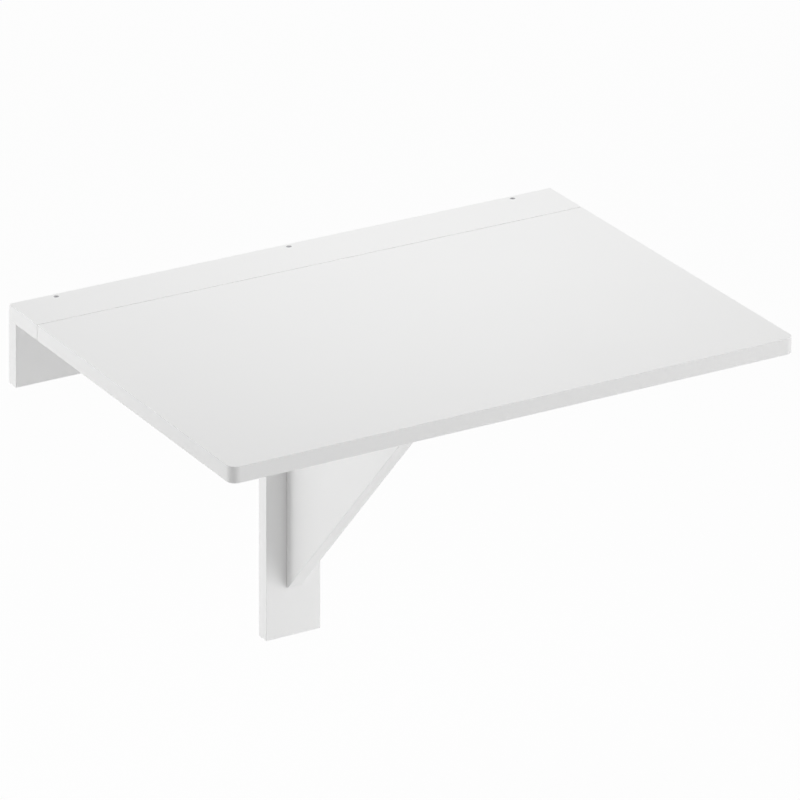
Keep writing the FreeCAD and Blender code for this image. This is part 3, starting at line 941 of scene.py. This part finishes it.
def solid_boxes(node: str) -> list[tuple[Vector, Vector]]:
    """Finds the separate solids of a node.

    Args:
        node: The node's name.

    Returns:
        Lowest and highest corner of each.
    """
    shape = bmesh.new()
    shape.from_mesh(frame["nodes"][node].data)
    bmesh.ops.remove_doubles(shape, verts=shape.verts, dist=WELD * MM)
    left = set(shape.verts)
    boxes = []
    while left:
        waiting = [left.pop()]
        found = []
        while waiting:
            point = waiting.pop()
            found.append(point.co.copy())
            for edge in point.link_edges:
                other = edge.other_vert(point)
                if other in left:
                    left.remove(other)
                    waiting.append(other)
        low, high = (Vector([pick(places) for places in zip(*found)]) for pick in (min, max))
        boxes.append((low, high))
    shape.free()
    return sorted(boxes, key=lambda box: tuple(box[0]))


def place_copies(single: Mesh, places: Sequence[Matrix]) -> Mesh:
    """Sets copies of a small piece at their places.

    Args:
        single: The piece in millimetres, used up here.
        places: Where each copy goes, in metres.

    Returns:
        All copies in one mesh.
    """
    pattern = bpy.data.meshes.new("pattern")
    single.to_mesh(pattern)
    single.free()
    shape = bmesh.new()
    for place in places:
        count = len(shape.verts)
        shape.from_mesh(pattern)
        bmesh.ops.transform(shape, matrix=place @ Matrix.Scale(MM, 4), verts=shape.verts[count:])
    bpy.data.meshes.remove(pattern)
    return shape


# Edges that turn by more than these angles are shaded sharp, and eased.
SHARP_FROM = math.radians(32.0)
EASED_FROM = math.radians(40.0)
EASED_SEGMENTS = 2


def seen_name(node: str) -> str:
    """Names the piece that is seen in place of a node."""
    return f"{node}_seen"


def stand_for(node: str, shape: Mesh, bevel: float) -> None:
    """Makes a finished mesh the piece that is seen in place of a node, and that moves with its body.

    Args:
        node: The node's name.
        shape: The mesh, used up here.
        bevel: Width of its eased edges, in metres.
    """
    bmesh.ops.recalc_face_normals(shape, faces=shape.faces)
    mesh = bpy.data.meshes.new(seen_name(node))
    shape.to_mesh(mesh)
    shape.free()
    mesh.shade_smooth()
    mesh.set_sharp_from_angle(angle=SHARP_FROM)
    piece = bpy.data.objects.new(seen_name(node), mesh)
    bpy.context.scene.collection.objects.link(piece)
    eased = piece.modifiers.new("eased_edges", "BEVEL")
    eased.width = bevel
    eased.segments = EASED_SEGMENTS
    eased.limit_method = "ANGLE"
    eased.angle_limit = EASED_FROM
    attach(piece, frame["nodes"][node]["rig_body"])
    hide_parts(node)
    log.info("%s stands for %s", piece.name, node)


def dress(node: str, material: bpy.types.Material) -> None:
    """Gives a node, or the piece that stands for it, its finish in place of any plain one.

    Args:
        node: The node's name.
        material: The finish.
    """
    thing = bpy.data.objects.get(seen_name(node)) or frame["nodes"][node]
    thing.data.materials.clear()
    thing.data.materials.append(material)
    log.info("%s dressed in %s", thing.name, material.name)


class SubAssembly(ABC):
    """A group of pieces that belong together."""

    @abstractmethod
    def build(self) -> None:
        """Models the pieces that the CAD nodes only outline."""

    @abstractmethod
    def dress(self, palette: Palette) -> None:
        """Gives every piece and node its finish."""


@dataclass(frozen=True)
class Board:
    """One lacquered board, as the CAD gives it."""

    node: str
    run: Axis
    thickness: Axis
    shift: Triple

    def dress(self, palette: Palette) -> None:
        """Lacquers the board."""
        dress(self.node, palette.lacquer(self.node, self.run, self.thickness, self.shift))


@dataclass(frozen=True)
class ScrewSet:
    """The screws of one node."""

    node: str
    facing: Facing
    screw: CountersunkScrew
    twist: float = 0.9
    bevel: float = 0.00005

    def build(self) -> None:
        """Models the screws, each turned as it happened to stop."""
        ahead = Vector(self.facing.value)
        stand = ahead.to_track_quat("Z", "Y").to_matrix().to_4x4()
        places = []
        for number, (low, high) in enumerate(solid_boxes(self.node)):
            reach = abs((high - low).dot(ahead))
            head = (low + high) / 2 + ahead * reach / 2
            places.append(Matrix.Translation(head) @ stand @ Matrix.Rotation(self.twist * number, 4, "Z"))
        stand_for(self.node, place_copies(self.screw.mesh(), places), self.bevel)

    def dress(self, palette: Palette) -> None:
        """Gives the screws their dull steel."""
        dress(self.node, palette.dull_steel)


@dataclass(frozen=True)
class ButtHinge(SubAssembly):
    """Butt hinge: two plates with rolled knuckles on a riveted pin."""

    name: str
    run: Axis
    sides: tuple[PlateSide, PlateSide]
    plate: RolledPlate = RolledPlate()
    pin: HingePin = HingePin()
    bevel: float = 0.00012

    def build(self) -> None:
        """Models the pin and the plates where the CAD has them."""
        pin = f"{self.name}_pin"
        low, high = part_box(pin)
        pivot = (low + high) / 2
        stand = Vector(self.run.value).to_track_quat("Z", "Y").to_matrix().to_4x4()
        shape = place_copies(self.pin.mesh(), [Matrix.Translation(pivot) @ stand])
        stand_for(pin, shape, self.bevel)
        for side in self.sides:
            x, y, z = (Vector(axis) for axis in side.axes)
            place = Matrix((x, y, z)).transposed().to_4x4()
            place.translation = pivot + z * self.plate.pin_drop * MM
            shape = place_copies(self.plate.mesh(side), [place])
            stand_for(f"{self.name}_{side.piece}", shape, self.bevel)

    def dress(self, palette: Palette) -> None:
        """Plates the hinge's steel, with its lines along the pin."""
        for piece in ("pin", *(side.piece for side in self.sides)):
            dress(f"{self.name}_{piece}", palette.plated_steel[self.run])


HINGE_SCREW = CountersunkScrew(head_radius=3.0, shank_radius=1.5, length=14.0)
TOP_SCREW = CountersunkScrew(head_radius=3.75, shank_radius=2.0, length=45.0)


@dataclass(frozen=True)
class BoardWork(SubAssembly):
    """Lacquered boards, with the screws that go into them."""

    boards: tuple[Board, ...]
    screws: tuple[ScrewSet, ...]

    def build(self) -> None:
        """Models the screws."""
        for screws in self.screws:
            screws.build()

    def dress(self, palette: Palette) -> None:
        """Lacquers the boards, and gives the screws their steel."""
        for part in (*self.boards, *self.screws):
            part.dress(palette)


@dataclass(frozen=True)
class WallFrame(BoardWork):
    """What stays on the wall: rail, strip and post, with their dowels and screws."""

    boards: tuple[Board, ...] = (
        Board("wall_rail", Axis.ALONG_WALL, Axis.OUT_OF_WALL, NO_SHIFT),
        Board("top_strip", Axis.ALONG_WALL, Axis.UPRIGHT, (0.4, 1.3, 2.1)),
        Board("wall_post", Axis.UPRIGHT, Axis.OUT_OF_WALL, (1.9, 2.8, 0.3)),
    )
    screws: tuple[ScrewSet, ...] = (
        ScrewSet("top_screws", Facing.UP, TOP_SCREW),
        ScrewSet("strip_plate_screws", Facing.DOWN, HINGE_SCREW),
        ScrewSet("post_plate_screws", Facing.FRONT, HINGE_SCREW),
    )
    dowels: str = "post_dowels"
    dowel: FlutedDowel = FlutedDowel()
    dowel_bevel: float = 0.0002

    def build(self) -> None:
        """Models the dowels and screws."""
        places = [Matrix.Translation((low + high) / 2) for low, high in solid_boxes(self.dowels)]
        stand_for(self.dowels, place_copies(self.dowel.mesh(), places), self.dowel_bevel)
        super().build()

    def dress(self, palette: Palette) -> None:
        """Lacquers the boards, and gives the dowels and screws their finish."""
        super().dress(palette)
        dress(self.dowels, palette.beech)


@dataclass(frozen=True)
class DropLeaf(BoardWork):
    """The leaf, with the stop that its bracket bears on."""

    boards: tuple[Board, ...] = (Board("drop_leaf", Axis.ALONG_WALL, Axis.UPRIGHT, (3.7, 0.6, 1.4)),)
    screws: tuple[ScrewSet, ...] = (
        ScrewSet("leaf_plate_screws", Facing.DOWN, HINGE_SCREW),
        ScrewSet("bracket_stop_screws", Facing.DOWN, HINGE_SCREW),
    )
    stop: str = "bracket_stop"

    def dress(self, palette: Palette) -> None:
        """Lacquers the board, and gives the stop and screws their finish."""
        super().dress(palette)
        dress(self.stop, palette.plastic)


@dataclass(frozen=True)
class SwingBracket(BoardWork):
    """The bracket that swings out below the leaf."""

    boards: tuple[Board, ...] = (Board("swing_bracket", Axis.OUT_OF_WALL, Axis.ALONG_WALL, (2.2, 3.1, 1.7)),)
    screws: tuple[ScrewSet, ...] = (ScrewSet("bracket_plate_screws", Facing.RIGHT, HINGE_SCREW),)


LEAF_HINGES = tuple(ButtHinge(f"leaf_hinge_{number}", Axis.ALONG_WALL, (PlateSide.STRIP, PlateSide.LEAF))
                    for number in (1, 2, 3, 4))
BRACKET_HINGES = tuple(ButtHinge(f"bracket_hinge_{place}", Axis.UPRIGHT, (PlateSide.POST, PlateSide.BRACKET))
                       for place in ("upper", "lower"))


# Stage


@dataclass(frozen=True)
class Softbox:
    """A soft lamp, which glossy surfaces may mirror."""

    name: str
    place: Triple
    aim: Triple
    width: float
    height: float
    power: float
    mirrored: bool = True

    def build(self) -> None:
        """Hangs the lamp and turns it to what it lights."""
        lamp = bpy.data.lights.new(self.name, "AREA")
        lamp.shape = "RECTANGLE"
        lamp.size = self.width
        lamp.size_y = self.height
        lamp.energy = self.power
        holder = bpy.data.objects.new(self.name, lamp)
        holder.location = self.place
        holder.rotation_euler = (Vector(self.aim) - Vector(self.place)).to_track_quat("-Z", "Y").to_euler()
        holder.visible_camera = False
        holder.visible_glossy = self.mirrored
        bpy.context.scene.collection.objects.link(holder)
        log.info("%s lit", self.name)


@dataclass(frozen=True)
class Viewpoint:
    """Camera of the picture: level film, with its centre far below the middle of the lens."""

    azimuth: float = math.radians(-30.595)
    place: Triple = (-4.1279, -7.6038, 3.2654)
    focal: float = 6648.4
    centre: Pair = (529.6, -2220.3)
    picture: float = 800.0
    sensor: float = 36.0
    far_limit: float = 100.0

    def build(self) -> None:
        """Sets up the camera: upright edges stay upright in the picture, as on a view camera."""
        scene = bpy.context.scene
        right = Vector((math.cos(self.azimuth), math.sin(self.azimuth), 0.0))
        ahead = Vector((-math.sin(self.azimuth), math.cos(self.azimuth), 0.0))
        up = Vector((0.0, 0.0, 1.0))
        across = (self.picture / 2 - self.centre[0]) / self.focal
        down = (self.picture / 2 - self.centre[1]) / self.focal
        middle = ahead + right * across - up * down
        camera = bpy.data.objects.new("viewpoint", bpy.data.cameras.new("viewpoint"))
        camera.data.sensor_width = self.sensor
        camera.data.lens = self.focal * middle.length * self.sensor / self.picture
        camera.data.clip_end = self.far_limit
        stand = bpy.data.objects.new("viewpoint_stand", None)
        scene.collection.objects.link(stand)
        scene.collection.objects.link(camera)
        camera.parent = stand
        columns = (right, up, -middle.normalized(), Vector(self.place))
        rows = [[column[row] for column in columns] for row in range(3)]
        camera.matrix_parent_inverse = Matrix((*rows, (0.0, 0.0, 0.0, 1.0)))
        scene.camera = camera
        log.info("viewpoint set")


@dataclass(frozen=True)
class Studio:
    """Pale floor, pale surroundings and soft lamps."""

    floor_level: float = -0.69
    floor_reach: float = 40.0
    floor_colour: Triple = (0.93, 0.93, 0.93)
    backing: float = 0.95
    ambient: float = 0.38
    lamps: tuple[Softbox, ...] = (
        Softbox("softbox_top", (0.1, 0.0, 1.6), (0.1, -0.1, 0.0), 1.0, 1.0, 10.4),
        Softbox("softbox_top_right", (0.9, 0.5, 1.6), (0.2, -0.2, 0.0), 1.0, 1.0, 4.4),
        Softbox("softbox_left", (-3.0, 1.5, 0.0), (0.0, -0.1, -0.1), 1.6, 1.3, 36.0, mirrored=False),
        Softbox("softbox_left_back", (-2.2, 5.0, 0.2), (0.0, -0.1, -0.1), 4.0, 2.0, 76.0, mirrored=False),
        Softbox("softbox_right", (4.5, -4.0, 0.8), (0.0, -0.2, 0.0), 3.0, 2.0, 80.0, mirrored=False),
        Softbox("softbox_low_right", (3.2, -5.0, -0.3), (0.0, -0.2, -0.1), 3.0, 0.7, 51.0),
        Softbox("softbox_below", (0.15, -0.3, -0.66), (0.0, -0.1, -0.2), 0.4, 0.3, 0.3),
        Softbox("softbox_back", (2.5, 3.5, -0.35), (0.0, 0.0, -0.1), 2.4, 0.6, 13.5),
    )

    def build(self) -> None:
        """Lays the floor, lights the scene and sets its colours to show as they are written."""
        bpy.context.scene.view_settings.view_transform = "Standard"
        self._lay_floor()
        self._light_surroundings()
        for lamp in self.lamps:
            lamp.build()

    @staticmethod
    def _seen(sheet: NodeSheet) -> bpy.types.NodeSocket:
        """Marks the rays that look at the background, straight, mirrored or through something.

        Args:
            sheet: The material's sheet.

        Returns:
            The mask's socket.
        """
        path = sheet.add("ShaderNodeLightPath").outputs
        either = sheet.math("MAXIMUM", path["Is Camera Ray"], path["Is Glossy Ray"])
        return sheet.math("MAXIMUM", either, path["Is Transmission Ray"])

    def _lay_floor(self) -> None:
        """Lays a pale floor that keeps the table's shadow and is clear from below."""
        mesh = bpy.data.meshes.new("floor")
        shape = bmesh.new()
        bmesh.ops.create_grid(shape, x_segments=1, y_segments=1, size=self.floor_reach)
        bmesh.ops.translate(shape, verts=shape.verts, vec=(0.0, 0.0, self.floor_level))
        shape.to_mesh(mesh)
        shape.free()
        floor = bpy.data.objects.new("floor", mesh)
        bpy.context.scene.collection.objects.link(floor)
        material = bpy.data.materials.new("floor")
        material.use_nodes = True
        material.node_tree.nodes.clear()
        sheet = NodeSheet(material.node_tree)
        pale = sheet.add("ShaderNodeBsdfDiffuse", {"Color": (*self.floor_colour, 1.0)})
        white = sheet.add("ShaderNodeEmission", {"Color": WHITE, "Strength": 1.0})
        lit = sheet.mix_shaders(sheet.math("MULTIPLY", self._seen(sheet), self.backing), pale, white)
        below = sheet.add("ShaderNodeNewGeometry").outputs["Backfacing"]
        sides = sheet.mix_shaders(below, lit, sheet.add("ShaderNodeBsdfTransparent"))
        sheet.add("ShaderNodeOutputMaterial", {"Surface": sides.outputs[0]})
        mesh.materials.append(material)
        log.info("floor laid")

    def _light_surroundings(self) -> None:
        """Surrounds the table with an even pale light, which looks white."""
        world = bpy.data.worlds.new("surroundings")
        world.use_nodes = True
        world.node_tree.nodes.clear()
        sheet = NodeSheet(world.node_tree)
        light = sheet.add("ShaderNodeBackground", {"Color": WHITE, "Strength": self.ambient})
        white = sheet.add("ShaderNodeBackground", {"Color": WHITE, "Strength": 1.0})
        mixed = sheet.mix_shaders(self._seen(sheet), light, white)
        sheet.add("ShaderNodeOutputWorld", {"Surface": mixed.outputs[0]})
        bpy.context.scene.world = world
        log.info("surroundings lit")


def main() -> None:
    """Builds and dresses the table, and sets the stage."""
    logging.basicConfig(level=logging.INFO, format="%(name)s: %(message)s")
    palette = Palette()
    board_works: tuple[SubAssembly, ...] = (WallFrame(), DropLeaf(), SwingBracket())
    for assembly in (*board_works, *LEAF_HINGES, *BRACKET_HINGES):
        assembly.build()
        assembly.dress(palette)
    Studio().build()
    Viewpoint().build()


if __name__ == "__main__":
    main()
